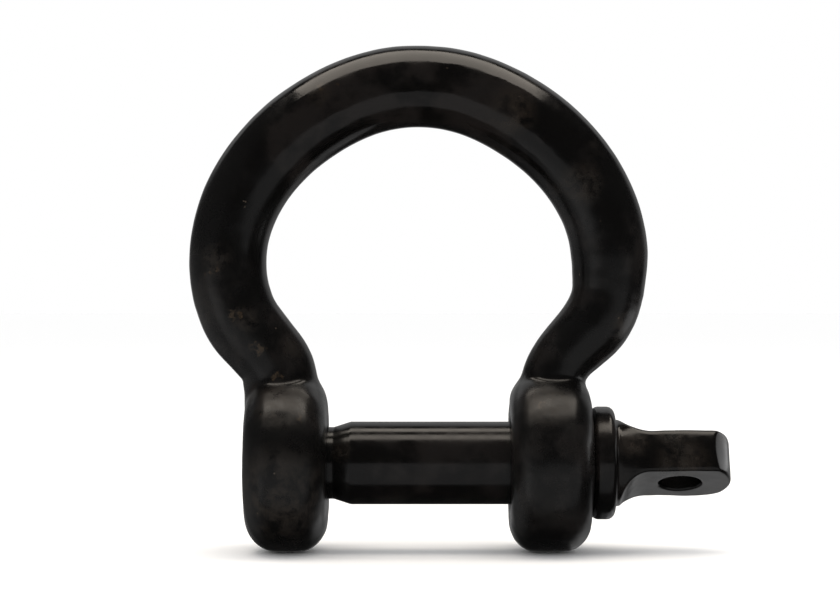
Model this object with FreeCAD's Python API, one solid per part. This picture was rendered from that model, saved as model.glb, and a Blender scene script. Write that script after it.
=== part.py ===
import FreeCAD, Part
import math
import os

from FreeCAD import Placement, Rotation, Vector

# A screw-pin bow shackle. The origin is on the pin's axis, midway between the ears.
# +X runs along the pin towards its eye, +Z points up to the crown of the bow, and
# the bow lies in the XZ plane. All sizes are in millimetres and angles in degrees.

# Driving dimensions of the bow
JAW = 27.0                  # gap between the two ears
EAR_D = 26.0                # the ears are round discs
EAR_T = 11.5
EAR_RIM_R = 4.7             # how far the rims of the discs are rounded
CROWN_D = 11.75             # bar diameter at the crown
SIDE_D = 11.1               # bar diameter at the bow's widest line
THROAT_D = 10.2             # thinnest place, where the bar turns in
NECK_D = 10.7               # bar diameter where it enters an ear
WIDEST_Z = 29.4             # height of the widest line above the pin's axis
BOW_R = 26.48               # mean radius of the bow's centreline
BOW_WIDEN = 1.1             # added at the sides and taken off at the crown
BOW_CORNER = 0.37           # added at the sides and the crown, taken off between them
THROAT_ANGLE = -14.0        # where the bow's round ends and its throat begins
THROAT_PULL = 5.2           # length of the throat curve's handle at the bow's end
NECK_PULL = 7.2             # length of its handle at the ear's end
NECK_Z = 7.0                # the bar ends inside the ear at this height
BOW_STEP = 13.0             # angle between two sections of the round bow
THROAT_SECTIONS = 5

# Driving dimensions of the pin
PIN_D = 12.0                # plain shank, the size the shackle is known by
PLAIN_HOLE_D = 12.5         # hole in the ear beside the pin's eye
THREAD_D = 10.0             # coarse metric thread
PITCH = 1.5
THREAD_GAP = 0.1            # play between the two threads
COLLAR_D = 16.5
COLLAR_T = 3.5
COLLAR_EDGE_R = 0.8
SEAT_GAP = 0.1              # collar to ear, and collar to the pin through it
SHANK_START_X = -9.9        # the plain shank ends here, short of the tapped ear
LEAD_END_X = -12.4          # and narrows to the lead by here
LEAD_D = 10.5
TIP_RECESS = 0.4            # the thread's tip stops this far inside the tapped ear
LEAD_DEPTH = 1.0            # the lead enters the tapped ear by this much
RELIEF_T = 1.4              # plain groove between the lead and the thread
THREAD_TURNS = 9            # enough to cross the tapped ear
HOLE_CHAMFER = 0.6

# Driving dimensions of the pin's eye
NECK_HEAD_D = 12.6          # round neck beside the collar
EYE_FLARE_D = 13.5          # the neck spreads to this where it is pressed flat
EYE_T = 6.4
EYE_W = 12.6
EYE_END_X = 45.5
EYE_END_R = 8.6
EYE_FLAT_X = 33.6           # the two flats are full from here on
EYE_RUNOUT_R = 4.6          # hollow by which each flat runs out into the neck
EYE_HOLE_D = 6.1
EYE_HOLE_X = 38.1
EYE_TILT = -23.5            # turn of the eye about the pin's axis when it is tight

EAR_INNER_X = JAW / 2
EAR_OUTER_X = EAR_INNER_X + EAR_T
EAR_MID_X = EAR_INNER_X + EAR_T / 2
TIP_X = -EAR_OUTER_X + TIP_RECESS
COLLAR_X = EAR_OUTER_X + SEAT_GAP
HEAD_X = COLLAR_X + COLLAR_T + SEAT_GAP
RELIEF_X = -EAR_INNER_X - LEAD_DEPTH
THREAD_START_X = RELIEF_X - THREAD_TURNS * PITCH

# Form of the 60 degree thread: depth of each groove and half its width at the bottom
MINOR_R = THREAD_D / 2 - 0.65 * PITCH
FLANK_SLOPE = math.tan(math.radians(30))
GROOVE_BOTTOM = 0.07 * PITCH

AXIS_X = Vector(1, 0, 0)
AXIS_Y = Vector(0, 1, 0)


def bow_point(angle):
    """Centreline of the round bow, at an angle above its widest line."""
    a = math.radians(angle)
    radius = BOW_R + BOW_WIDEN * math.cos(2 * a) + BOW_CORNER * math.cos(4 * a)
    return Vector(radius * math.cos(a), 0, WIDEST_Z + radius * math.sin(a))


def bow_direction(angle):
    """Unit direction of that centreline, running down the bow's right side."""
    ahead = bow_point(angle - 0.5)
    behind = bow_point(angle + 0.5)
    return (ahead - behind).normalize()


def bow_diameter(angle):
    """The bar is thickest at the crown and thins steadily below the widest line."""
    if angle > 0:
        return SIDE_D + (CROWN_D - SIDE_D) * math.sin(math.radians(angle)) ** 2
    return SIDE_D + (THROAT_D - SIDE_D) * 0.5 * angle / THROAT_ANGLE


def throat_curve():
    """The bar turns in below the bow and comes down upright into the ear."""
    start = bow_point(THROAT_ANGLE)
    end = Vector(EAR_MID_X, 0, NECK_Z)
    curve = Part.BezierCurve()
    curve.setPoles([
        start,
        start + bow_direction(THROAT_ANGLE) * THROAT_PULL,
        end + Vector(0, 0, NECK_PULL),
        end,
    ])
    return curve


def right_sections():
    """Centre, direction and diameter of the bar from the crown down to the right ear."""
    sections = []
    steps = round((90 - THROAT_ANGLE) / BOW_STEP)
    for i in range(steps):
        angle = 90 + (THROAT_ANGLE - 90) * i / steps
        sections.append((bow_point(angle), bow_direction(angle), bow_diameter(angle)))
    curve = throat_curve()
    start_d = bow_diameter(THROAT_ANGLE)
    for i in range(THROAT_SECTIONS + 1):
        t = i / THROAT_SECTIONS
        thinning = math.sin(math.pi * t)
        d = start_d + (NECK_D - start_d) * t - (start_d - THROAT_D) * thinning
        sections.append((curve.value(t), Vector(*curve.tangent(t)[0]), d))
    return sections


def bar_wire(centre, direction, diameter):
    """A round section, square to the bar's direction in the XZ plane."""
    turn = math.degrees(math.atan2(direction.x, direction.z))
    circle = Part.makeCircle(diameter / 2)
    circle.Placement = Placement(centre, Rotation(AXIS_Y, turn))
    return Part.Wire(circle)


def make_bar():
    """The bent bar, lofted from one ear over the crown to the other."""
    right = right_sections()
    left = []
    for centre, direction, diameter in reversed(right[1:]):
        mirrored = Vector(-centre.x, 0, centre.z)
        left.append((mirrored, Vector(direction.x, 0, -direction.z), diameter))
    return Part.makeLoft([bar_wire(*section) for section in left + right], True, False)


def cylinder_x(diameter, x0, x1):
    return Part.makeCylinder(diameter / 2, x1 - x0, Vector(x0, 0, 0), AXIS_X)


def block_x(x0, x1, width, z0, z1):
    """A block along the pin's axis, centred across it."""
    return Part.makeBox(x1 - x0, width, z1 - z0, Vector(x0, -width / 2, z0))


def upright_cylinder(radius, x):
    """A cylinder that stands square to the eye's flats and passes right through them."""
    return Part.makeCylinder(radius, 2 * EYE_FLARE_D, Vector(x, 0, -EYE_FLARE_D))


def revolved_x(points):
    """Turn a closed outline of (x, radius) points about the pin's axis."""
    corners = [Vector(x, 0, r) for x, r in points]
    outline = Part.makePolygon(corners + corners[:1])
    return Part.Face(outline).revolve(Vector(0, 0, 0), AXIS_X, 360)


def make_ear(inner_x, outer_x):
    ear = cylinder_x(EAR_D, min(inner_x, outer_x), max(inner_x, outer_x))
    rims = [e for e in ear.Edges if isinstance(e.Curve, Part.Circle)]
    return ear.makeFillet(EAR_RIM_R, rims)


def hole_cutter(diameter, x0, x1):
    """A through hole with a small chamfer at both of its mouths."""
    r = diameter / 2
    wide = r + 2 * HOLE_CHAMFER
    return revolved_x([
        (x0 - HOLE_CHAMFER, 0),
        (x0 - HOLE_CHAMFER, wide),
        (x0 + HOLE_CHAMFER, r),
        (x1 - HOLE_CHAMFER, r),
        (x1 + HOLE_CHAMFER, wide),
        (x1 + HOLE_CHAMFER, 0),
    ])


def helical_groove(x0, turns, bottom_r, mouth_r):
    """A right-handed V groove wound along the pin's axis from x0.

    It opens at 60 degrees from its bottom to its mouth: outwards on the pin, inwards in the ear.
    """
    half_mouth = GROOVE_BOTTOM + abs(mouth_r - bottom_r) * FLANK_SLOPE
    turn_edges = []
    for i in range(turns):
        one_turn = Part.makeHelix(PITCH, PITCH, (bottom_r + mouth_r) / 2)
        one_turn.translate(Vector(0, 0, i * PITCH))
        turn_edges += one_turn.Edges
    corners = [
        Vector(bottom_r, 0, -GROOVE_BOTTOM),
        Vector(mouth_r, 0, -half_mouth),
        Vector(mouth_r, 0, half_mouth),
        Vector(bottom_r, 0, GROOVE_BOTTOM),
    ]
    profile = Part.makePolygon(corners + corners[:1])
    groove = Part.Wire(turn_edges).makePipeShell([profile], True, True)
    if groove.Volume < 0:
        groove.reverse()
    groove.rotate(Vector(0, 0, 0), AXIS_Y, 90)
    groove.translate(Vector(x0, 0, 0))
    return groove


def make_bow():
    """One forging: bent bar, tapped ear on the left and plain ear on the right."""
    bow = make_bar()
    bow = bow.fuse(make_ear(-EAR_INNER_X, -EAR_OUTER_X))
    bow = bow.fuse(make_ear(EAR_INNER_X, EAR_OUTER_X))
    bow = bow.cut(hole_cutter(PLAIN_HOLE_D, EAR_INNER_X, EAR_OUTER_X))
    tapping_d = 2 * (MINOR_R + 2 * THREAD_GAP)
    bow = bow.cut(hole_cutter(tapping_d, -EAR_OUTER_X, -EAR_INNER_X))
    lead_room = LEAD_D / 2 + THREAD_GAP
    bow = bow.cut(cylinder_x(2 * lead_room, RELIEF_X - SEAT_GAP, 0))
    groove = helical_groove(THREAD_START_X, THREAD_TURNS + 2, THREAD_D / 2 + THREAD_GAP, MINOR_R)
    return bow.cut(groove)


def make_eye():
    """Flattened end of the pin: two flats that run out into the round neck."""
    half_t = EYE_T / 2
    run = math.sqrt(EYE_RUNOUT_R ** 2 - (half_t + EYE_RUNOUT_R - NECK_HEAD_D / 2) ** 2)
    start_x = EYE_FLAT_X - run
    centre_x = EYE_END_X - EYE_END_R
    blank = revolved_x([
        (start_x, 0),
        (start_x, NECK_HEAD_D / 2),
        (EYE_FLAT_X, EYE_FLARE_D / 2),
        (EYE_END_X, EYE_FLARE_D / 2),
        (EYE_END_X, 0),
    ])
    sides = block_x(start_x, centre_x, EYE_W, -EYE_FLARE_D / 2, EYE_FLARE_D / 2)
    end = block_x(centre_x, EYE_END_X, EYE_W, -EYE_FLARE_D / 2, EYE_FLARE_D / 2)
    end = end.common(upright_cylinder(EYE_END_R, centre_x))
    neck = cylinder_x(NECK_HEAD_D, HEAD_X, start_x)
    eye = neck.fuse(blank.common(sides.fuse(end)))

    hollow = Part.makeCylinder(
        EYE_RUNOUT_R, EYE_W + 2, Vector(EYE_FLAT_X, -EYE_W / 2 - 1, half_t + EYE_RUNOUT_R), AXIS_Y
    )
    above = block_x(EYE_FLAT_X, EYE_END_X + 1, EYE_W + 2, half_t, EYE_FLARE_D)
    upper = hollow.fuse(above)
    lower = upper.mirror(Vector(0, 0, 0), Vector(0, 0, 1))
    eye = eye.cut(upper).cut(lower)
    eye = eye.cut(upright_cylinder(EYE_HOLE_D / 2, EYE_HOLE_X))
    eye.rotate(Vector(0, 0, 0), AXIS_X, EYE_TILT)
    return eye


def make_screw_pin():
    """Thread, lead, plain shank and eye, turned and forged as one piece."""
    thread_r = THREAD_D / 2 - THREAD_GAP
    root_r = MINOR_R - THREAD_GAP
    relief_r = root_r - THREAD_GAP
    turned = revolved_x([
        (TIP_X, 0),
        (TIP_X, relief_r),
        (TIP_X + thread_r - relief_r, thread_r),
        (RELIEF_X - RELIEF_T, thread_r),
        (RELIEF_X - RELIEF_T, relief_r),
        (RELIEF_X, relief_r),
        (RELIEF_X, LEAD_D / 2),
        (LEAD_END_X, LEAD_D / 2),
        (SHANK_START_X, PIN_D / 2),
        (HEAD_X, PIN_D / 2),
        (HEAD_X, 0),
    ])
    groove = helical_groove(THREAD_START_X + PITCH / 2, THREAD_TURNS - 1, root_r, THREAD_D / 2)
    return turned.cut(groove).fuse(make_eye())


def make_pin_collar():
    """The pin's round collar, which seats on the plain ear."""
    collar = cylinder_x(COLLAR_D, COLLAR_X, COLLAR_X + COLLAR_T)
    rims = [e for e in collar.Edges if isinstance(e.Curve, Part.Circle)]
    collar = collar.makeFillet(COLLAR_EDGE_R, rims)
    return collar.cut(cylinder_x(PIN_D + 2 * SEAT_GAP, COLLAR_X - 1, HEAD_X + 1))


def write_node(name, shape):
    shape.exportStep(os.path.join("parts", name + ".step"))
    box = shape.BoundBox
    print(name, "solids", len(shape.Solids), "valid", shape.isValid(), "volume", round(shape.Volume, 1))
    print("  x %.2f..%.2f  y %.2f..%.2f  z %.2f..%.2f" % (
        box.XMin, box.XMax, box.YMin, box.YMax, box.ZMin, box.ZMax))


os.makedirs("parts", exist_ok=True)
write_node("bow", make_bow())
write_node("screw_pin", make_screw_pin())
write_node("pin_collar", make_pin_collar())
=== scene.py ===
import bpy
import math
import numpy as np
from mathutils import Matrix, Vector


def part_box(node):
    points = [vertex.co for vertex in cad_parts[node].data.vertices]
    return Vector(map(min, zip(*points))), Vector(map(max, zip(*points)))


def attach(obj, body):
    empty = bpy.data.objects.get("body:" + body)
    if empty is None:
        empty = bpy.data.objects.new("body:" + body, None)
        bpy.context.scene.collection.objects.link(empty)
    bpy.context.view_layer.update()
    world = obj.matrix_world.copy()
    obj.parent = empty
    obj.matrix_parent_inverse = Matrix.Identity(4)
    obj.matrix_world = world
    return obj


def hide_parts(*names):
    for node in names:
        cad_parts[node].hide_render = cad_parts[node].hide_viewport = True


# A black-painted, forged screw-pin bow shackle. The shapes are written in millimetres, as
# distance fields that are turned into meshes, and scaled to metres when the mesh is made.
# A field is negative inside the metal. The pin's axis is X, the bow lies in the XZ plane
# and the camera looks along +Y.

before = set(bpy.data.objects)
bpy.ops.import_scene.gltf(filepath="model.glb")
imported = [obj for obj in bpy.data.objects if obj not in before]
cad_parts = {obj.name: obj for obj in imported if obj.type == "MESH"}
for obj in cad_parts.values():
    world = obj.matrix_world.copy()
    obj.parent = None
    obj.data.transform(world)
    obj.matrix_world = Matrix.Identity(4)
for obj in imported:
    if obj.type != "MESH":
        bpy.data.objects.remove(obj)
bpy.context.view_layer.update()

MM = 0.001


def box_mm(node):
    low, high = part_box(node)
    return np.array(low) / MM, np.array(high) / MM


BOW_LOW, BOW_HIGH = box_mm("bow")
PIN_LOW, PIN_HIGH = box_mm("screw_pin")
COLLAR_LOW, COLLAR_HIGH = box_mm("pin_collar")

# Bar of the bow: centreline and diameters
CROWN_D = 11.9
SIDE_D = 11.25
SHOULDER_D = 0.35           # added halfway between the crown and the sides
WIDEST_Z = 29.4
BOW_R = 26.48
BOW_WIDEN = 1.1
BOW_CORNER = 0.37
THROAT_ANGLE = {-1: -10.0, 1: -3.0}
# The smith's two bends in each throat, and where the bar ends inside its ear: x, z, the bar's
# diameter and how far before and after the corner its bend begins and ends
THROAT = {
    -1: ((26.2, 21.0, 11.3, 2.0), (20.7, 14.5, 10.7, 1.8), (19.2, 5.5, 11.8)),
    1: ((27.6, 22.0, 10.3, 4.6), (19.4, 13.9, 9.1, 4.2), (19.0, 5.5, 10.8)),
}
ARC_ROWS = 120              # points of the round bow's centreline on each side
BEND_ROWS = 9               # points of each bend
PATH_STEP = 0.25
EVENING = 3.0               # each way along the bar over which its diameter is evened out

# Ears: inner and outer faces with the radius of each face's rim, and how much smaller the ear
# is at its faces than at the middle
EAR_R = -BOW_LOW[2]
EAR_FACES = {-1: (13.35, 3.7, 25.25, 3.9, 0.8), 1: (13.35, 3.4, 25.1, 3.5, 0.5)}
EAR_BLEND = 0.8
PLAIN_HOLE_R = 6.25
HOLE_EDGE = 0.5
MOUTH_CHAMFER = 0.7
HOLE_MARGIN = 0.5           # smooth machined ring round each hole, and where it fades out
HOLE_FADE = 2.0
EAR_FADE = 3.0              # how far below its top the ear's own unevenness is full

# Thread, the same form as in the CAD
PITCH = 1.5
THREAD_START_X = -28.0
GROOVE_BOTTOM = 0.105
FLANK_SLOPE = math.tan(math.radians(30))
EAR_THREAD_R = (4.225, 5.1)
PIN_THREAD_R = (3.925, 4.9)
LEAD_ROOM_R = 5.35
LEAD_PLAY = 0.1

# Pin, along its axis
RELIEF_START_X = -15.9
RELIEF_END_X = -14.5
RELIEF_R = 3.85
LEAD_OVERLAP = 0.2          # the relief groove runs this far into the lead, as one piece
LEAD_R = 5.25
LEAD_END_X = -12.4
SHANK_START_X = -9.9
SHANK_R = 6.05
COLLAR_R = COLLAR_HIGH[2]
COLLAR_EDGE = 1.15
TIP_EDGE = 0.3
LEAD_EDGE = 0.35

# Eye of the pin
EYE_TILT = math.radians(-23.5)
NECK_R = 6.3
NECK_ROOT = 1.0             # the neck starts this far inside the collar
NECK_BLEND = 0.5
EYE_FLARE_R = 6.75
EYE_HALF_T = 3.2
EYE_HALF_W = (6.1, 6.5)     # at the root of the flats and from EYE_WIDE_X on
EYE_WIDE_X = 41.1
EYE_SIDE_CURVE = 0.45       # how far the eye's sides bulge across its thickness
EYE_END_R = 8.6
EYE_CORNERS = (0.5, 2.6)    # rounding of the end's near and far corners
EYE_FLAT_X = 33.6
EYE_RUNOUT_R = 4.6
EYE_HOLE_R = 3.05
EYE_HOLE_X = 38.1
EYE_SIDE_EDGE = 0.5
EYE_UPPER_EDGE = 0.9        # the upper flat's rim is worn rounder than the lower one's
EYE_LOWER_EDGE = 0.35
EYE_HOLE_EDGE = 0.45
EYE_FADE = 3.0              # how far from the collar the forged unevenness is full

# Forged unevenness, as ripples: height in mm, seed, longest and shortest wave in mm
BOW_LUMPS = ((0.05, 3, 22.0, 9.0), (0.012, 4, 4.5, 2.2))
EAR_LUMPS = ((0.035, 5, 8.0, 4.0), (0.010, 6, 2.6, 1.4))
EYE_LUMPS = ((0.035, 11, 9.0, 4.0), (0.010, 12, 3.5, 1.6))


def smooth_max(a, b, k):
    """The larger of two distances, with the corner between them rounded over k."""
    h = np.clip(0.5 - 0.5 * (b - a) / k, 0, 1)
    return b + (a - b) * h + k * h * (1 - h)


def smooth_min(a, b, k):
    """The smaller of two distances, with the inside corner filled over k."""
    return -smooth_max(-a, -b, k)


def ripple(x, y, z, seed, longest, shortest, waves=20):
    """Smooth seeded unevenness between -1 and 1, with the given range of wavelengths in mm."""
    rng = np.random.RandomState(seed)
    total = np.zeros_like(x)
    for _ in range(waves):
        direction = rng.normal(size=3)
        direction /= np.linalg.norm(direction)
        wave = shortest * (longest / shortest) ** rng.rand()
        kx, ky, kz = direction * 2 * math.pi / wave
        total += np.sin(kx * x + ky * y + kz * z + rng.rand() * 2 * math.pi)
    return total / math.sqrt(2 * waves)


def unevenness(x, y, z, lumps):
    """Several ripples added up."""
    return sum(height * ripple(x, y, z, *waves) for height, *waves in lumps)


# ---- the bar's centreline ----

def bow_point(angle):
    """Centreline of the round bow, at an angle above its widest line: x and z."""
    radius = BOW_R + BOW_WIDEN * math.cos(2 * angle) + BOW_CORNER * math.cos(4 * angle)
    return radius * math.cos(angle), WIDEST_Z + radius * math.sin(angle)


def rounded_corner(before, corner, after, reach):
    """A bend of the bar: a quadratic curve that leaves each straight at a reach from the corner."""
    corner = np.array(corner)
    start = np.array(before) - corner
    end = np.array(after) - corner
    start = corner + start / np.linalg.norm(start) * reach
    end = corner + end / np.linalg.norm(end) * reach
    t = np.linspace(0, 1, BEND_ROWS)[:, None]
    return (1 - t) ** 2 * start + 2 * t * (1 - t) * corner + t ** 2 * end


def half_path(side):
    """From the crown down to one ear: rows of x, z and the bar's half width."""
    rows = []
    last = math.radians(THROAT_ANGLE[side])
    for angle in np.linspace(math.pi / 2, last, ARC_ROWS):
        x, z = bow_point(angle)
        d = SIDE_D + (CROWN_D - SIDE_D) * max(0, math.sin(angle)) ** 2
        d += SHOULDER_D * max(0, math.sin(2 * angle)) ** 2
        rows.append((x, z, d / 2))
    start = rows[-1][:2]
    upper, lower, end = THROAT[side]
    for x, z in rounded_corner(start, upper[:2], lower[:2], upper[3]):
        rows.append((x, z, upper[2] / 2))
    for x, z in rounded_corner(upper[:2], lower[:2], end[:2], lower[3]):
        rows.append((x, z, lower[2] / 2))
    rows.append((end[0], end[1], end[2] / 2))
    return np.array(rows) * (side, 1, 1)


def bar_path():
    """The whole centreline at even steps, from the left ear over the crown to the right."""
    rows = np.vstack([half_path(-1)[::-1], half_path(1)[1:]])
    gaps = np.linalg.norm(np.diff(rows[:, :2], axis=0), axis=1)
    along = np.concatenate([[0], np.cumsum(gaps)])
    at = np.linspace(0, along[-1], int(along[-1] / PATH_STEP))
    even = np.stack([np.interp(at, along, rows[:, i]) for i in range(3)], axis=1)
    reach = round(EVENING / PATH_STEP)
    padded = np.pad(even[:, 2], reach, mode="edge")
    summed = np.convolve(padded, np.ones(2 * reach + 1), "valid")
    even[:, 2] = summed / (2 * reach + 1)
    return even


class BarLookup:
    """Signed offset from the bar's centreline and the bar's half width, over the XZ plane.

    Both are worked out once on a grid of size points, step apart from low, and read between them.
    """
    step = 0.25
    low = (-38.0, -2.0)
    size = (305, 270)

    def __init__(self):
        path = bar_path()
        ahead = np.diff(path[:, :2], axis=0)
        length2 = (ahead ** 2).sum(axis=1)
        self.offset = np.empty(self.size)
        self.width = np.empty(self.size)
        z = self.low[1] + self.step * np.arange(self.size[1])
        for i in range(self.size[0]):
            point = np.stack([np.full_like(z, self.low[0] + self.step * i), z], axis=1)
            near = ((point[:, None] - path[None, :, :2]) ** 2).sum(axis=2).argmin(axis=1)
            best = np.full(len(z), np.inf)
            for segment in (near - 1, near):
                segment = np.clip(segment, 0, len(ahead) - 1)
                away = point - path[segment, :2]
                t = np.clip((away * ahead[segment]).sum(axis=1) / length2[segment], 0, 1)
                left = away - t[:, None] * ahead[segment]
                dist = np.hypot(left[:, 0], left[:, 1])
                cross = ahead[segment, 0] * left[:, 1] - ahead[segment, 1] * left[:, 0]
                better = dist < best
                best = np.where(better, dist, best)
                signed = np.where(cross < 0, -dist, dist)
                width = path[segment, 2] * (1 - t) + path[segment + 1, 2] * t
                self.offset[i] = np.where(better, signed, self.offset[i])
                self.width[i] = np.where(better, width, self.width[i])

    def __call__(self, x, z):
        fx = np.clip((x - self.low[0]) / self.step, 0, self.size[0] - 1.001)
        fz = np.clip((z - self.low[1]) / self.step, 0, self.size[1] - 1.001)
        i, k = fx.astype(int), fz.astype(int)
        u, v = fx - i, fz - k
        blended = []
        for table in (self.offset, self.width):
            lower = table[i, k] * (1 - u) + table[i + 1, k] * u
            upper = table[i, k + 1] * (1 - u) + table[i + 1, k + 1] * u
            blended.append(lower * (1 - v) + upper * v)
        return blended


# ---- the bow's field ----

def groove_offset(x, y, z, start_x):
    """Distance along X from the middle of a right-handed groove that winds from start_x."""
    turn = (x - start_x) / PITCH - np.arctan2(y, -z) / (2 * math.pi)
    return np.abs(turn - np.round(turn)) * PITCH


def ear_distance(side, x, y, z):
    """A round disc whose two rims are well rounded."""
    inner, inner_rim, outer, outer_rim, crown = EAR_FACES[side]
    along = x * side - (inner + outer) / 2
    rim = np.where(along < 0, inner_rim, outer_rim)
    over_x = np.abs(along) - (outer - inner) / 2 + rim
    drop = crown * np.minimum((along / (outer - inner) * 2) ** 2, 1)
    over_r = np.hypot(y, z) - EAR_R + drop + rim
    outside = np.hypot(np.maximum(over_x, 0), np.maximum(over_r, 0))
    return outside + np.minimum(np.maximum(over_x, over_r), 0) - rim


def flared(radius, x, mouths):
    """A hole's radius, widened by a small worn chamfer near each of its mouths."""
    for mouth in mouths:
        radius = radius + np.clip(MOUTH_CHAMFER - np.abs(x - mouth), 0, MOUTH_CHAMFER)
    return radius


def thread_rise(x, y, z, start_x):
    """How far a thread's flank stands from the bottom of its groove."""
    beyond = np.maximum(groove_offset(x, y, z, start_x) - GROOVE_BOTTOM, 0)
    return beyond / FLANK_SLOPE


def bow_fields():
    """The bow's field without and with its forged unevenness."""
    lookup = BarLookup()
    bar_end_z = THROAT[1][-1][1]

    def plain_field(x, y, z):
        offset, width = lookup(x, z)
        bar = np.sqrt(offset ** 2 + y ** 2) - width
        bar = np.maximum(bar, bar_end_z - z)
        metal = smooth_min(bar, ear_distance(-1, x, y, z), EAR_BLEND)
        metal = smooth_min(metal, ear_distance(1, x, y, z), EAR_BLEND)
        r = np.hypot(y, z)
        plain = r - flared(PLAIN_HOLE_R, x, (EAR_FACES[1][0], EAR_FACES[1][2]))
        plain = np.maximum(plain, -x)
        tapped_r = EAR_THREAD_R[1] - thread_rise(x, y, z, THREAD_START_X)
        tapped_r = np.maximum(tapped_r, EAR_THREAD_R[0])
        tapped_r = np.where(x > RELIEF_END_X - LEAD_PLAY, LEAD_ROOM_R, tapped_r)
        tapped = r - flared(tapped_r, x, (-EAR_FACES[-1][2],))
        tapped = np.maximum(tapped, x)
        return smooth_max(metal, -np.minimum(plain, tapped), HOLE_EDGE)

    def forged_field(x, y, z):
        """The same with the unevenness of a hammered and painted surface, away from the holes."""
        away = np.clip((np.hypot(y, z) - PLAIN_HOLE_R - HOLE_MARGIN) / HOLE_FADE, 0, 1)
        on_ear = np.clip((EAR_R - z) / EAR_FADE, 0, 1)
        lumps = unevenness(x, y, z, BOW_LUMPS) + on_ear * unevenness(x, y, z, EAR_LUMPS)
        return plain_field(x, y, z) + away * lumps

    return plain_field, forged_field


# ---- the pin's field ----

def turned_field(x, y, z):
    """The pin's thread, relief groove, lead and plain shank."""
    tip_x = PIN_LOW[0]
    r = np.hypot(y, z)
    rise = thread_rise(x, y, z, THREAD_START_X + PITCH / 2)
    thread_r = np.minimum(PIN_THREAD_R[0] + rise, PIN_THREAD_R[1])
    thread_r = np.minimum(thread_r, PIN_THREAD_R[0] + np.maximum(x - tip_x, 0))
    thread_r = np.where(x > RELIEF_START_X, RELIEF_R, thread_r)
    thread = np.maximum(r - thread_r, x - RELIEF_END_X - LEAD_OVERLAP)
    shank_r = np.interp(x, [LEAD_END_X, SHANK_START_X], [LEAD_R, SHANK_R])
    shank = smooth_max(r - shank_r, RELIEF_END_X - x, LEAD_EDGE)
    shank = np.maximum(shank, x - COLLAR_HIGH[0])
    return smooth_max(np.minimum(thread, shank), tip_x - x, TIP_EDGE)


def collar_field(x, y, z):
    """A short round collar with rounded rims."""
    mid = (COLLAR_LOW[0] + COLLAR_HIGH[0]) / 2
    half = (COLLAR_HIGH[0] - COLLAR_LOW[0]) / 2
    over_x = np.abs(x - mid) - half + COLLAR_EDGE
    over_r = np.hypot(y, z) - COLLAR_R + COLLAR_EDGE
    outside = np.hypot(np.maximum(over_x, 0), np.maximum(over_r, 0))
    return outside + np.minimum(np.maximum(over_x, over_r), 0) - COLLAR_EDGE


def eye_field(x, y, z):
    """The round neck pressed to two flats, worked out with the eye lying flat."""
    across = math.cos(EYE_TILT) * y + math.sin(EYE_TILT) * z
    through = math.cos(EYE_TILT) * z - math.sin(EYE_TILT) * y
    run = math.sqrt(EYE_RUNOUT_R ** 2 - (EYE_HALF_T + EYE_RUNOUT_R - NECK_R) ** 2)
    flare_x = EYE_FLAT_X - run
    end_x = PIN_HIGH[0]

    flare_r = np.interp(x, [flare_x, EYE_FLAT_X], [NECK_R, EYE_FLARE_R])
    blank = np.hypot(across, through) - flare_r
    sunk = np.clip(EYE_FLAT_X - x, 0, EYE_RUNOUT_R)
    half_t = EYE_HALF_T + EYE_RUNOUT_R - np.sqrt(EYE_RUNOUT_R ** 2 - sunk ** 2)
    half_w = np.interp(x, [EYE_FLAT_X, EYE_WIDE_X], EYE_HALF_W)
    half_w = half_w - EYE_SIDE_CURVE * np.minimum((through / EYE_HALF_T) ** 2, 1)
    # The round neck is left whole: there the flats and the sides pass outside it
    half_t = np.where(x < flare_x - 0.5, NECK_R + 1.5, half_t)
    half_w = np.where(x < flare_x, EYE_FLARE_R + 1, half_w)

    end = np.hypot(np.maximum(x - (end_x - EYE_END_R), 0), across) - EYE_END_R
    end = np.maximum(end, x - end_x)
    corner = np.where(across < 0, *EYE_CORNERS)
    plan = smooth_max(np.abs(across) - half_w, end, corner)
    body = smooth_max(blank, plan, EYE_SIDE_EDGE)
    body = smooth_max(body, through - half_t, EYE_UPPER_EDGE)
    body = smooth_max(body, -through - half_t, EYE_LOWER_EDGE)
    body = np.maximum(body, COLLAR_HIGH[0] - NECK_ROOT - x)
    hole = np.hypot(x - EYE_HOLE_X, across) - EYE_HOLE_R
    return smooth_max(body, -hole, EYE_HOLE_EDGE)


def plain_pin_field(x, y, z):
    """The whole pin, with its neck blended into the collar."""
    metal = np.minimum(turned_field(x, y, z), collar_field(x, y, z))
    return smooth_min(metal, eye_field(x, y, z), NECK_BLEND)


def forged_pin_field(x, y, z):
    """The same with an uneven eye: the shank and the collar are machined smooth."""
    away = np.clip((x - COLLAR_HIGH[0]) / EYE_FADE, 0, 1)
    return plain_pin_field(x, y, z) + away * unevenness(x, y, z, EYE_LUMPS)


# ---- turning a field into a mesh ----

def sample(field, low, high, cell):
    """The field's values on a grid, worked out one slab at a time."""
    axes = [np.arange(low[i], high[i] + cell, cell) for i in range(3)]
    y, z = np.meshgrid(axes[1], axes[2], indexing="ij")
    slabs = [field(np.full_like(y, x), y, z).astype(np.float32) for x in axes[0]]
    return np.stack(slabs)


def cell_points(values, cells):
    """One point in each crossed cell: the mean of the places where its edges are crossed."""
    total = np.zeros((len(cells), 3))
    hits = np.zeros(len(cells))
    for axis in range(3):
        others = [a for a in range(3) if a != axis]
        for i in (0, 1):
            for j in (0, 1):
                start = np.zeros(3, int)
                start[others[0]], start[others[1]] = i, j
                step = np.zeros(3, int)
                step[axis] = 1
                a = values[tuple((cells + start).T)]
                b = values[tuple((cells + start + step).T)]
                crossed = (a < 0) != (b < 0)
                t = np.where(crossed, a / np.where(crossed, a - b, 1), 0)
                total += crossed[:, None] * (start + t[:, None] * step)
                hits += crossed
    return cells + total / hits[:, None]


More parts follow.
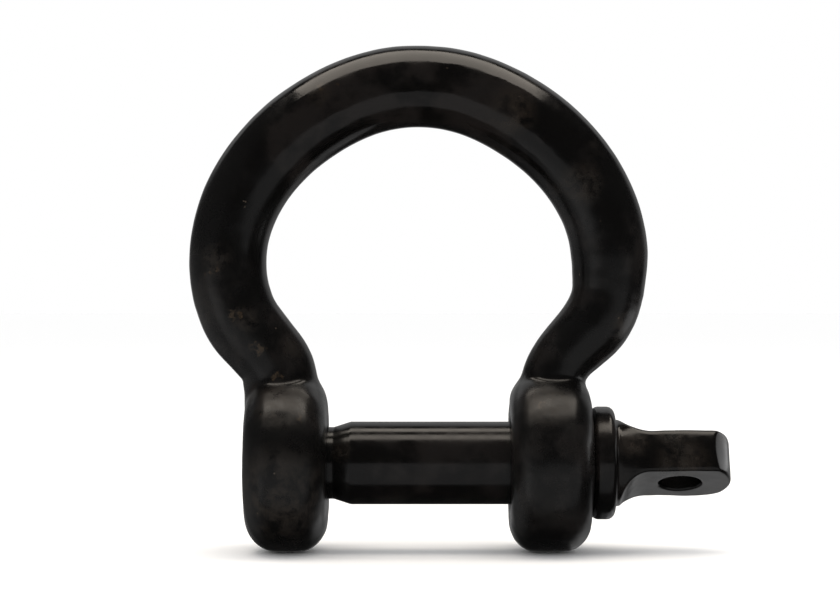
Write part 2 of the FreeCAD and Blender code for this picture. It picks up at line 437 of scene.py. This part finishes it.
def cell_quads(inside, ids):
    """A four-sided face round each grid edge that the surface crosses, facing outwards."""
    quads = []
    for axis in range(3):
        first, second = (axis + 1) % 3, (axis + 2) % 3
        lower = np.take(inside, range(0, inside.shape[axis] - 1), axis=axis)
        upper = np.take(inside, range(1, inside.shape[axis]), axis=axis)
        at = np.argwhere(lower != upper)
        solid_below = lower[tuple(at.T)]
        ring = []
        for i, j in ((-1, -1), (0, -1), (0, 0), (-1, 0)):
            shift = np.zeros(3, int)
            shift[first], shift[second] = i, j
            ring.append(ids[tuple((at + shift).T)])
        ring = np.stack(ring, axis=1)
        ring[~solid_below] = ring[~solid_below][:, ::-1]
        quads.append(ring)
    return np.vstack(quads)


def project(points, field, reach):
    """Moves each point straight onto the surface where the field is zero."""
    probe = 0.02
    flattest = 0.2
    value = field(*points.T)
    slope = np.stack([
        (field(*(points + probe * unit).T) - value) / probe for unit in np.eye(3)
    ], axis=1)
    steep = np.maximum((slope ** 2).sum(axis=1), flattest)
    move = -(value / steep)[:, None] * slope
    length = np.maximum(np.linalg.norm(move, axis=1), 1e-9)
    return points + move * np.minimum(1, reach / length)[:, None]


def settle(points, quads, field, cell, rounds):
    """Spreads the points evenly over the surface, and keeps them on it."""
    share = 0.6
    start = quads.ravel()
    end = np.roll(quads, -1, axis=1).ravel()
    count = np.bincount(start, minlength=len(points))
    for _ in range(rounds):
        mean = np.stack([
            np.bincount(start, points[end, i], len(points)) / count for i in range(3)
        ], axis=1)
        points = project(points + share * (mean - points), field, cell)
    return project(points, field, cell)


def field_mesh(name, plain_field, forged_field, low, high, cell, rounds):
    """A mesh of the plain field's surface, whose points then settle onto the forged field's."""
    margin = 3 * cell
    low, high = low - margin, high + margin
    values = sample(plain_field, low, high, cell)
    inside = values < 0
    corners = [slice(None, -1), slice(1, None)]
    filled = sum(
        inside[a, b, c].astype(np.uint8) for a in corners for b in corners for c in corners
    )
    crossed = (filled > 0) & (filled < 8)
    cells = np.argwhere(crossed)
    ids = np.full(crossed.shape, -1)
    ids[crossed] = np.arange(len(cells))
    quads = cell_quads(inside, ids)
    points = low + cell * cell_points(values, cells)
    points = settle(points, quads, forged_field, cell, rounds)
    mesh = bpy.data.meshes.new(name)
    mesh.from_pydata((points * MM).tolist(), [], quads.tolist())
    mesh.shade_smooth()
    mesh.validate()
    piece = bpy.data.objects.new(name, mesh)
    bpy.context.collection.objects.link(piece)
    return piece


# ---- materials ----

def node(tree, kind, inputs=None, **settings):
    """Adds a shader node, whose inputs are values or other nodes' outputs."""
    made = tree.nodes.new("ShaderNode" + kind)
    for key, value in settings.items():
        setattr(made, key, value)
    for key, value in (inputs or {}).items():
        if isinstance(value, bpy.types.NodeSocket):
            tree.links.new(value, made.inputs[key])
        else:
            made.inputs[key].default_value = value
    return made


def noise(tree, place, millimetres, detail=3.0, roughness=0.5):
    """Cloudy noise whose features are about this many millimetres across."""
    made = node(tree, "TexNoise", {
        "Vector": place, "Scale": 1 / (millimetres * MM), "Detail": detail, "Roughness": roughness,
    })
    return made.outputs["Fac"]


def ramp(tree, value, low, high, to_low=0.0, to_high=1.0):
    """Maps low..high onto to_low..to_high, clamped and eased."""
    made = node(tree, "MapRange", {
        "Value": value, "From Min": low, "From Max": high, "To Min": to_low, "To Max": to_high,
    }, interpolation_type="SMOOTHSTEP")
    return made.outputs["Result"]


def maths(tree, operation, *values):
    """Adds, multiplies or otherwise combines two or more values, from the first to the last."""
    total = values[0]
    for value in values[1:]:
        total = node(tree, "Math", {0: total, 1: value}, operation=operation).outputs[0]
    return total


def mix_colour(tree, factor, a, b):
    made = node(tree, "Mix", {0: factor, 6: a, 7: b}, data_type="RGBA")
    return made.outputs[2]


def patch(tree, place, centre, radius, wobble):
    """A patch of wear (and, at the eye's end, of painted reflection): full at its centre and ragged
    at its edge.
    """
    apart = node(tree, "VectorMath", {0: place, 1: [c * MM for c in centre]}, operation="DISTANCE")
    reach = maths(tree, "ADD", apart.outputs["Value"], wobble)
    return ramp(tree, reach, radius * MM, radius * MM * 0.45)


# Paint where it is thick, thin and worn (also a painted reflection), and what shows at chips and
# flecks
THICK_PAINT = (0.0020, 0.0018, 0.0017, 1)
THIN_PAINT = (0.0074, 0.0062, 0.0057, 1)
WORN_PAINT_AND_REFLECTION = (0.0150, 0.0112, 0.0082, 1)
CHIP = (0.024, 0.016, 0.009, 1)
FLECK = (0.045, 0.034, 0.024, 1)
RAGGED = 6 * MM


def paint_colour(tree, place, grain, patches, chips):
    """The paint's colour, and a mask of where it is worn and where a reflection is painted on."""
    speckle = noise(tree, place, 2.2, 5.0, 0.65)
    thin = ramp(tree, noise(tree, place, 9.0, 4.0, 0.6), 0.47, 0.63)
    colour = mix_colour(tree, thin, THICK_PAINT, THIN_PAINT)

    wobble = maths(tree, "MULTIPLY", maths(tree, "SUBTRACT", speckle, 0.5), RAGGED)
    spots = [patch(tree, place, centre, radius, wobble) for centre, radius in patches]
    worn_and_reflection = maths(tree, "MAXIMUM", *spots)
    worn_and_reflection = maths(tree, "MULTIPLY", worn_and_reflection, ramp(tree, speckle, 0.36, 0.66))
    colour = mix_colour(tree, worn_and_reflection, colour, WORN_PAINT_AND_REFLECTION)

    flaked = ramp(tree, grain, 0.36, 0.62)
    for centre, radius in chips:
        chip = maths(tree, "MULTIPLY", patch(tree, place, centre, radius, wobble), flaked)
        colour = mix_colour(tree, chip, colour, CHIP)

    cells = node(tree, "TexVoronoi", {"Vector": place, "Scale": 1 / (1.9 * MM)})
    fleck = ramp(tree, cells.outputs["Distance"], 0.085, 0.04)
    rare = ramp(tree, noise(tree, place, 5.0, 2.0), 0.56, 0.64)
    fleck = maths(tree, "MULTIPLY", fleck, rare)
    return mix_colour(tree, fleck, colour, FLECK), worn_and_reflection


def paint_roughness(tree, place, grain, worn_and_reflection, gloss):
    """Glossiest at the crown, and duller down the sides, on the ears and where it is worn."""
    smoothest, dullest, sides, ears = gloss
    height = node(tree, "SeparateXYZ", {0: place}).outputs["Z"]
    return maths(
        tree, "ADD",
        ramp(tree, noise(tree, place, 5.5, 3.0, 0.6), 0.35, 0.68, smoothest, dullest),
        ramp(tree, height, 50 * MM, 36 * MM, 0.0, sides),
        ramp(tree, height, 12.5 * MM, 8.0 * MM, 0.0, ears),
        maths(tree, "MULTIPLY", worn_and_reflection, 0.16),
        maths(tree, "MULTIPLY", grain, 0.05),
    )


def paint_relief(tree, place):
    """Orange peel, small pits and dust under the paint."""
    cells = node(tree, "TexVoronoi", {"Vector": place, "Scale": 1 / (2.1 * MM), "Randomness": 1.0})
    height = maths(
        tree, "ADD",
        maths(tree, "MULTIPLY", noise(tree, place, 1.5, 2.0, 0.45), 0.35),
        maths(tree, "MULTIPLY", noise(tree, place, 0.30, 2.0, 0.6), 0.26),
        maths(tree, "MULTIPLY", ramp(tree, cells.outputs["Distance"], 0.04, 0.13), 0.35),
    )
    bump = node(tree, "Bump", {"Height": height, "Strength": 0.30, "Distance": 0.05 * MM})
    return bump.outputs["Normal"]


def painted_steel(name, patches, chips, gloss):
    """Near-black gloss paint on forged steel.

    Patches and chips are centres and radii in mm. Gloss is the least and greatest roughness,
    and what is added to it down the bow's sides and on its ears.
    """
    material = bpy.data.materials.new(name)
    material.use_nodes = True
    tree = material.node_tree
    shader = tree.nodes["Principled BSDF"]
    place = node(tree, "TexCoord").outputs["Object"]
    grain = noise(tree, place, 0.7, 2.0, 0.5)
    colour, worn_and_reflection = paint_colour(tree, place, grain, patches, chips)
    roughness = paint_roughness(tree, place, grain, worn_and_reflection, gloss)
    tree.links.new(colour, shader.inputs["Base Color"])
    tree.links.new(roughness, shader.inputs["Roughness"])
    tree.links.new(paint_relief(tree, place), shader.inputs["Normal"])
    shader.inputs["Specular IOR Level"].default_value = 0.5
    return material


def bow_paint():
    """The bow's paint is worn on its crown, at the bends and over the lower ears."""
    patches = [
        ((-14.0, -4.0, 53.0), 3.0),
        ((-17.5, -5.5, 17.5), 3.2),
        ((-24.0, -5.0, 10.0), 2.6),
        ((-20.0, -12.0, -4.0), 9.5),
        ((-29.0, -4.5, 30.0), 2.8),
        ((-25.0, -5.5, 21.0), 2.6),
        ((-19.5, -9.5, 9.5), 5.5),
        ((18.5, -9.5, 9.0), 4.5),
        ((30.0, -4.0, 20.0), 3.0),
        ((23.5, -5.5, 40.5), 4.0),
        ((13.5, -5.2, 51.2), 4.5),
    ]
    chips = [
        ((-13.7, -4.6, 53.9), 0.9),
        ((-11.4, -4.8, 54.9), 0.6),
        ((-9.2, -4.9, 55.8), 0.5),
        ((-29.5, -5.3, 28.3), 0.9),
        ((-26.3, -5.5, 21.9), 0.8),
        ((-22.8, -5.3, 16.9), 1.0),
        ((-20.5, -5.5, 12.6), 0.6),
        ((-22.3, -11.0, 7.4), 0.5),
        ((-16.5, -11.0, 7.6), 0.5),
        ((17.5, -9.5, 9.0), 0.4),
    ]
    return painted_steel("bow_paint", patches, chips, (0.07, 0.17, 0.10, 0.06))


def pin_paint():
    """The pin's paint is rubbed at the collar's rim and along the eye, where fingers turn it, and
    lighter at the eye's end as wear and a painted reflection.
    """
    patches = [
        ((26.0, -6.5, 6.0), 2.4),
        ((31.0, -5.5, 3.5), 3.0),
        ((37.0, -3.5, 4.6), 4.0),
        # Lighter at the eye's end: part wear, part a painted reflection on the end face
        ((44.0, -3.5, 3.0), 2.2),
        ((38.0, -6.6, 0.6), 5.0),
        ((-11.0, -5.0, 2.0), 2.0),
    ]
    chips = [
        ((27.2, -6.8, 5.6), 0.5),
        ((43.4, -5.5, 2.9), 0.5),
        ((31.5, -6.0, 0.5), 0.3),
    ]
    return painted_steel("pin_paint", patches, chips, (0.09, 0.20, 0.02, 0.0))


# ---- pieces ----

def make_bow():
    plain_field, forged_field = bow_fields()
    cell = 0.35
    bow = field_mesh("bow_forging", plain_field, forged_field, BOW_LOW, BOW_HIGH, cell, 5)
    bow.data.materials.append(bow_paint())
    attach(bow, "bow")
    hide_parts("bow")


def make_pin():
    low = np.minimum(PIN_LOW, COLLAR_LOW)
    high = np.maximum(PIN_HIGH, COLLAR_HIGH)
    cell = 0.212
    pin = field_mesh("screw_pin_forging", plain_pin_field, forged_pin_field, low, high, cell, 4)
    pin.data.materials.append(pin_paint())
    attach(pin, "pin")
    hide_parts("screw_pin", "pin_collar")


# ---- studio ----

FLOOR_Z = BOW_LOW[2] * MM
FLOOR_REACH = 6.0
CAMERA_DISTANCE = 0.340
CAMERA_X = 0.0002
CAMERA_Z = 0.02385
LENS = 99.5
# Lights: name, place, turn in degrees, size, radiance beside the white background's 1, colour
LIGHTS = [
    ("softbox", (0.0, 0.032, 0.55), (0, 0, 0), (0.68, 0.425), 2.0, (1.0, 0.91, 0.80)),
    ("low_card", (0.0, -0.15, -0.118), (90, 0, 0), (0.60, 0.25), 0.20, (1.0, 1.0, 1.0)),
    ("back_card", (0.052, 0.052, -0.056), (-138, 0, 0), (0.037, 0.052), 0.30, (1.0, 1.0, 1.0)),
    ("end_card", (0.060, 0.005, 0.007), (0, 90, 0), (0.014, 0.024), 0.75, (1.0, 1.0, 1.0)),
]


def make_floor():
    mesh = bpy.data.meshes.new("floor")
    corners = [(-1, -1), (1, -1), (1, 1), (-1, 1)]
    points = [(x * FLOOR_REACH, y * FLOOR_REACH, FLOOR_Z) for x, y in corners]
    mesh.from_pydata(points, [], [(0, 1, 2, 3)])
    floor = bpy.data.objects.new("floor", mesh)
    bpy.context.collection.objects.link(floor)
    material = bpy.data.materials.new("floor_paper")
    material.use_nodes = True
    shader = material.node_tree.nodes["Principled BSDF"]
    shader.inputs["Base Color"].default_value = (0.9, 0.9, 0.9, 1)
    shader.inputs["Roughness"].default_value = 0.9
    shader.inputs["Specular IOR Level"].default_value = 0.0
    mesh.materials.append(material)
    floor.visible_glossy = False


def make_world():
    """White for the camera and for diffuse light; gloss sees a dim studio with pale edges."""
    world = bpy.data.worlds.new("studio")
    bpy.context.scene.world = world
    world.use_nodes = True
    tree = world.node_tree
    path = node(tree, "LightPath")
    direction = node(tree, "TexCoord").outputs["Generated"]
    split = node(tree, "SeparateXYZ", {0: direction})
    x, y, z = (split.outputs[axis] for axis in "XYZ")
    # How bright the studio is in each direction: behind, above that, low at the left, at the right
    behind = maths(
        tree, "MULTIPLY", ramp(tree, y, 0.72, 0.96, 0.0, 0.30), ramp(tree, z, -0.45, -0.10)
    )
    above = maths(
        tree, "MULTIPLY", ramp(tree, y, 0.56, 0.66), ramp(tree, z, 0.20, 0.45, 0.0, 0.4)
    )
    left = maths(
        tree, "MULTIPLY", ramp(tree, x, -0.35, -0.85), ramp(tree, z, 0.25, -0.30, 0.03, 0.20)
    )
    right = maths(
        tree, "MULTIPLY", ramp(tree, x, 0.30, 0.50), ramp(tree, y, 0.50, 0.68, 0.0, 0.30)
    )
    brightest = maths(tree, "MAXIMUM", behind, above, left, right)
    studio = maths(tree, "ADD", brightest, 0.02)
    plain = node(tree, "Mix", {0: path.outputs["Is Camera Ray"], 2: 1.1, 3: 1.0}).outputs[0]
    level = node(tree, "Mix", {0: path.outputs["Is Glossy Ray"], 2: plain, 3: studio}).outputs[0]
    background = tree.nodes["Background"]
    tree.links.new(level, background.inputs["Strength"])
    background.inputs["Color"].default_value = (1, 1, 1, 1)


def make_light(name, place, turn, size, radiance, colour):
    light = bpy.data.lights.new(name, "AREA")
    light.shape = "RECTANGLE"
    light.size, light.size_y = size
    light.energy = radiance * 4 * size[0] * size[1]
    light.color = colour
    lamp = bpy.data.objects.new(name, light)
    lamp.location = place
    lamp.rotation_euler = [math.radians(angle) for angle in turn]
    lamp.visible_camera = False
    bpy.context.collection.objects.link(lamp)


def make_camera():
    camera = bpy.data.objects.new("camera", bpy.data.cameras.new("camera"))
    camera.data.lens = LENS
    camera.data.clip_start = 0.01
    camera.location = (CAMERA_X, -CAMERA_DISTANCE, CAMERA_Z)
    camera.rotation_euler = (math.pi / 2, 0, 0)
    bpy.context.collection.objects.link(camera)
    bpy.context.scene.camera = camera


make_camera()
make_bow()
make_pin()
make_floor()
make_world()
for light in LIGHTS:
    make_light(*light)
bpy.context.scene.view_settings.view_transform = "Standard"
